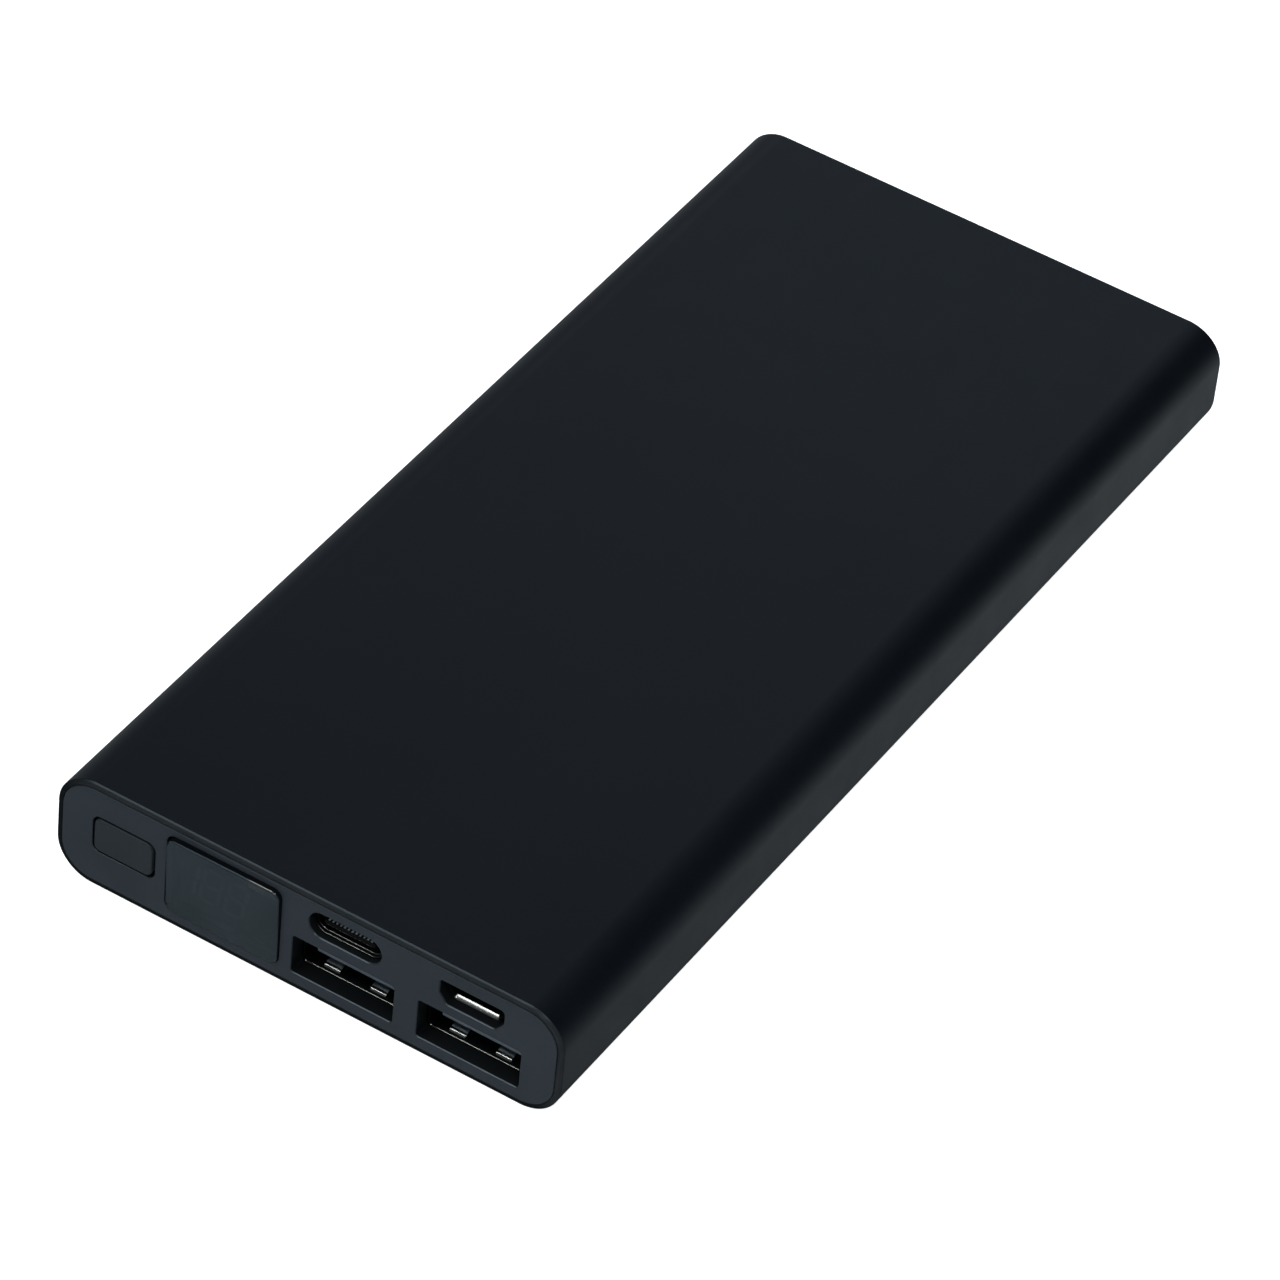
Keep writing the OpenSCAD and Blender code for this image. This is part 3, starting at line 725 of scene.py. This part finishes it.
def usb_a(side, cx):
    lo, hi = mmbox(f"usb_a_{side}_shell")
    y0, y1 = lo.y, hi.y
    cz = (lo.z + hi.z) / 2
    cz = 5.15
    at = rr(13.1, 5.7, 0.6, cx, cz, 6)
    t = 0.3
    bm = bmesh.new()
    rings = [at(0, y1 - 0.1), at(0, y0 + t / 2)]
    for i in range(1, 8):
        f = math.pi * i / 8
        rings.append(at(-t / 2 + t / 2 * math.cos(f), y0 + t / 2 - t / 2 * math.sin(f)))
    rings += [at(-t, y0 + t / 2), at(-t, y0 + 0.5), at(-t, y1 - 0.3)]
    # the inner walls and the back end take the dark socket material: painted shade
    vs = loft(bm, rings, 0, marks={9: 1, 10: 1})
    bm.faces.new(vs[-1]).material_index = 1
    back = ring(bm, at(-0.1, y1))
    bridge(bm, vs[0], back)
    bm.faces.new(back)
    # painted shade on the left flank of the mouth
    shade(bm, lambda c: c.x < cx - 6.2 and c.y < y0 + 0.6)
    boxes = []
    for sx in (-3, 3):
        for z0, z1 in ((cz - 3.2, cz - 2.45), (cz + 2.45, cz + 3.2)):
            boxes.append(((cx + sx - 1.32, y0 + 0.5, z0), (cx + sx + 1.32, y0 + 5.6, z1)))
    bm = cut(bm, boxes, [M["steel"], M["socket_shade"], M["spring"]])
    # leaf springs in the windows, their free ends turned down towards the mouth
    floor = 2.55
    for sx in (-3, 3):
        for m in (-1, 1):
            line = [(0.54, 0.07), (0.60, -0.05), (0.70, -0.15), (0.86, -0.23), (1.1, -0.30), (1.5, -0.34), (2.1, -0.33),
                    (3.0, -0.24), (4.2, -0.08), (5.2, 0.09), (5.75, 0.15)]
            pts = [(y0 + dy, cz + m * (floor + dz)) for dy, dz in line]
            strip(bm, pts, cx + sx - 1.03, cx + sx + 1.03, 0.15, mi=2)
    shell = piece(f"usb_a_{side}_housing", bm, [M["steel"], M["socket_shade"], M["spring"]], replaces=[f"usb_a_{side}_shell"], angle=38)

    lo, hi = mmbox(f"usb_a_{side}_tongue")
    bm = bmesh.new()
    ta = rr(11.1, 1.84, 0.25, cx, 3.3 + 0.92, 4)
    loft(bm, eased(ta, lo.y, 0.22, 4) + [ta(0, -60.4)], 0, (True, True))
    block(bm, (cx - 6.23, -60.5, cz - 2.53), (cx + 6.23, -55.82, cz + 2.53), 0.12)
    piece(f"usb_a_{side}_tongue_block", bm, [M["tongue"]], replaces=[f"usb_a_{side}_tongue"], angle=40)

    lo, hi = mmbox(f"usb_a_{side}_contacts")
    bm = bmesh.new()
    for i in (-3.5, -1, 1, 3.5):
        y = lo.y
        line = [(y, 5.13), (y + 0.15, 5.19), (y + 0.5, 5.25), (y + 1.2, 5.28), (y + 2.4, 5.24), (y + 4.0, 5.19), (y + 6.0, 5.18)]
        strip(bm, line, cx + i - 0.5, cx + i + 0.5, 0.12)
    piece(f"usb_a_{side}_pins", bm, [M["gold"]], replaces=[f"usb_a_{side}_contacts"], angle=40)
    return shell


def usb_c():
    lo, hi = mmbox("usb_c_shell")
    y0, y1 = lo.y, hi.y
    cx, cz = USB_C
    at = rr(8.94, 3.2, 1.59, cx, cz, 12)
    bm = bmesh.new()
    rings = [at(0, y1 - 0.1), at(0, y0 + 0.06)]
    for i in range(1, 7):                       # outer skin's rim
        f = math.pi * i / 7
        rings.append(at(-0.05 + 0.05 * math.cos(f), y0 + 0.05 - 0.05 * math.sin(f)))
    n = len(rings)
    rings += [at(-0.10, y0 + 0.06), at(-0.10, y0 + 0.34), at(-0.20, y0 + 0.34)]
    for i in range(1, 6):                       # inner skin, set back
        f = math.pi / 2 * i / 5
        rings.append(at(-0.20 - 0.08 * math.sin(f), y0 + 0.34 + 0.08 * (1 - math.cos(f))))
    rings += [at(-0.30, y0 + 0.48), at(-0.30, y1 - 0.3)]
    # the inner skin's step and walls take the dark socket material: painted shade
    dark = {k: 1 for k in (n, n + 1, len(rings) - 2, len(rings) - 3)}
    vs = loft(bm, rings, 0, marks=dark)
    bm.faces.new(vs[-1]).material_index = 1
    # painted shade on the left arc of the mouth
    shade(bm, lambda c: c.x < cx - 3.3 and c.z > cz - 0.9)
    back = ring(bm, at(-0.1, y1))
    bridge(bm, vs[0], back)
    bm.faces.new(back)
    piece("usb_c_housing", bm, [M["steel"], M["socket_shade"]], replaces=["usb_c_shell"], angle=38)

    lo, hi = mmbox("usb_c_tongue")
    bm = bmesh.new()
    ta = rr(6.69, 0.70, 0.22, cx, cz, 5)
    loft(bm, eased(ta, lo.y, 0.18, 5) + [ta(0, -65.9)], 0, (True, True))
    base = rr(8.3, 2.56, 1.27, cx, cz, 10)
    loft(bm, [base(-0.1, -66.0), base(0, -65.9), base(0, -63.42), base(-0.1, -63.32)], 0, (True, True))
    piece("usb_c_tongue_block", bm, [M["black"]], replaces=["usb_c_tongue"], angle=40)

    lo, hi = mmbox("usb_c_contacts")
    bm = bmesh.new()
    for k in range(12):
        x = cx + (k - 5.5) * 0.5
        for m in (-1, 1):
            y = lo.y
            line = [(y, cz + m * 0.33), (y + 0.06, cz + m * 0.365), (y + 0.2, cz + m * 0.38), (y + 3.6, cz + m * 0.38)]
            strip(bm, line, x - 0.125, x + 0.125, 0.05, c=0.015)
    # painted highlight: the pins' pale colour
    piece("usb_c_pins", bm, [M["pale"]], replaces=["usb_c_contacts"], angle=40)


def micro_usb():
    lo, hi = mmbox("micro_usb_shell")
    y0, y1 = lo.y, hi.y
    bm = bmesh.new()
    rad = [0.5, 0.5, 0.6, 0.5, 0.5, 0.6]

    def at(d, y, drop=0.0):
        """Shell outline at an inward offset d, with its lower lip dropped."""
        pts = poly(micro_points(7.5, 5.7, 9.6, 10.7, 12.1), rad, 6)(-d, y)
        out = []
        for x, yy, z in pts:
            f = min(1.0, max(0.0, (10.2 - z) / 0.45))
            out.append((x, yy, z - drop * f))
        return out

    rings = [at(0, y1 - 0.1), at(0, y0 + 0.50), at(0, y0 + 0.40, 0.03), at(0, y0 + 0.10, 0.28), at(0.05, y0 + 0.02, 0.34), at(0.11, y0, 0.36),
             at(0.18, y0 + 0.02, 0.36), at(0.23, y0 + 0.07, 0.34), at(0.245, y0 + 0.42, 0.02), at(0.25, y0 + 0.50, 0.0), at(0.25, y1 - 0.25)]
    # the inner wall takes the dark socket material: painted shade
    vs = loft(bm, rings, 0, marks={9: 1})
    bm.faces.new(vs[-1]).material_index = 1
    # painted shade on the upper part of the shell
    shade(bm, lambda c: c.z > 10.05)
    back = ring(bm, at(0.1, y1))
    bridge(bm, vs[0], back)
    bm.faces.new(back)
    piece("micro_usb_housing", bm, [M["bright"], M["socket_shade"]], replaces=["micro_usb_shell"], angle=38)

    lo, hi = mmbox("micro_usb_tongue")
    bm = bmesh.new()
    ta = rr(3.7, 0.60, 0.15, MICRO_X, 11.3, 4)
    loft(bm, eased(ta, lo.y, 0.14, 4) + [ta(0, -66.5)], 0, (True, True))
    base = poly(micro_points(6.96, 5.42, 9.87, 10.81, 11.83), rad, 6)
    loft(bm, [base(-0.1, -66.6), base(0, -66.5), base(0, -65.37), base(-0.1, -65.27)], 0, (True, True))
    piece("micro_usb_tongue_block", bm, [M["black"]], replaces=["micro_usb_tongue"], angle=40)

    lo, hi = mmbox("micro_usb_contacts")
    bm = bmesh.new()
    for k in range(-2, 3):
        x = MICRO_X + 0.65 * k
        y = lo.y
        strip(bm, [(y, 11.0), (y + 0.1, 10.965), (y + 0.3, 10.955), (y + 3.0, 10.97)], x - 0.15, x + 0.15, 0.05, c=0.015)
    piece("micro_usb_pins", bm, [M["gold"]], replaces=["micro_usb_contacts"], angle=40)


sleeve()
front_panel()
rear_cap()
power_button()
display_lens()
for side, cx in zip(("left", "right"), USB_A):
    usb_a(side, cx)
usb_c()
micro_usb()


# ---------------------------------------------------------------- floor, light
def floor():
    m = bpy.data.materials.new("pale_floor")
    m.use_nodes = True
    nt = m.node_tree
    p = nt.nodes["Principled BSDF"]
    tc = nt.nodes.new("ShaderNodeTexCoord")
    n = nt.nodes.new("ShaderNodeTexNoise")
    n.inputs["Scale"].default_value = 3
    nt.links.new(tc.outputs["Object"], n.inputs["Vector"])
    mr = nt.nodes.new("ShaderNodeMapRange")
    mr.inputs["To Min"].default_value = 0.7
    mr.inputs["To Max"].default_value = 0.8
    nt.links.new(n.outputs["Fac"], mr.inputs["Value"])
    nt.links.new(mr.outputs["Result"], p.inputs["Roughness"])
    p.inputs["Base Color"].default_value = (0.85, 0.86, 0.86, 1)
    p.inputs["Specular IOR Level"].default_value = 0.1
    p.inputs["Emission Color"].default_value = (0.97, 1.0, 1.0, 1)
    p.inputs["Emission Strength"].default_value = 0.94
    bm = bmesh.new()
    n = 12
    vs = [[bm.verts.new(((i / n - 0.5) * 8, (j / n - 0.5) * 8, -0.0001)) for i in range(n + 1)] for j in range(n + 1)]
    for j in range(n):
        for i in range(n):
            bm.faces.new((vs[j][i], vs[j][i + 1], vs[j + 1][i + 1], vs[j + 1][i]))
    me = bpy.data.meshes.new("floor")
    bm.to_mesh(me)
    bm.free()
    me.materials.append(m)
    ob = bpy.data.objects.new("floor", me)
    scene.collection.objects.link(ob)
    ob.visible_glossy = False       # a cut-out backdrop: gloss shows the studio's soft gradient instead


def studio():
    """Dim cool room above; below, a soft gradient that is light in front and behind, and dark at both sides."""
    world = bpy.data.worlds.new("studio")
    scene.world = world
    world.use_nodes = True
    nt = world.node_tree
    bg = nt.nodes["Background"]
    tc = nt.nodes.new("ShaderNodeTexCoord")

    def op(kind, a, b=None):
        n = nt.nodes.new("ShaderNodeMath")
        n.operation = kind
        for s, v in zip(n.inputs, (a, b)):
            if isinstance(v, (int, float)):
                s.default_value = v
            elif v is not None:
                nt.links.new(v, s)
        return n.outputs[0]

    def along(v):
        n = nt.nodes.new("ShaderNodeVectorMath")
        n.operation = "DOT_PRODUCT"
        nt.links.new(tc.outputs["Generated"], n.inputs[0])
        n.inputs[1].default_value = v
        return n.outputs["Value"]

    def smooth(v, a, b):
        n = nt.nodes.new("ShaderNodeMapRange")
        n.interpolation_type = "SMOOTHSTEP"
        n.inputs["From Min"].default_value = a
        n.inputs["From Max"].default_value = b
        nt.links.new(v, n.inputs["Value"])
        return n.outputs["Result"]

    ahead = op("MULTIPLY", smooth(op("MULTIPLY", along((0.476, 0.879, 0.0)), -1.0), 0.30, 0.70), 0.07)
    behind = op("MULTIPLY", smooth(along((0.10, 0.99, 0.0)), 0.38, 0.92), 1.10)
    behind = op("MULTIPLY", behind, smooth(along((1.0, 0.0, 0.0)), -0.04, 0.33))
    below = smooth(op("MULTIPLY", along((0.0, 0.0, 1.0)), -1.0), -0.02, 0.30)
    flank = op("MULTIPLY", smooth(along((-0.74, 0.65, -0.10)), 0.70, 0.95), 0.35)
    level = op("ADD", op("ADD", op("MULTIPLY", op("ADD", ahead, behind), below), flank), 0.048)
    bg.inputs[0].default_value = (0.86, 0.94, 1.0, 1)
    nt.links.new(level, bg.inputs[1])


def softbox(name, direction, distance, size, watts, target=(0, 0, 0), colour=(1, 1, 1)):
    l = bpy.data.lights.new(name, "AREA")
    l.shape = "RECTANGLE"
    l.size, l.size_y = size
    l.energy = watts
    l.color = colour
    ob = bpy.data.objects.new(name, l)
    scene.collection.objects.link(ob)
    d = Vector(direction).normalized()
    ob.location = Vector(target) + d * distance
    ob.rotation_euler = (-d).to_track_quat("-Z", "Y").to_euler()
    return ob


floor()
softbox("front_box", (-0.354, -0.290, 0.889), 1.2, (0.7, 0.5), 6.5, colour=(0.98, 1.0, 1.0))
softbox("glint", (0.40, -0.40, 0.82), 0.8, (0.25, 0.08), 1.2, target=(0, -0.07, 0))
softbox("fill", (0.15, -0.85, 0.50), 1.0, (0.3, 0.2), 0.9)
softbox("back_box", (-0.25, 0.80, 0.55), 1.0, (0.9, 0.5), 2.0, target=(0, 0.07, 0), colour=(0.80, 0.89, 1.0))
studio()
scene.view_settings.view_transform = "Standard"
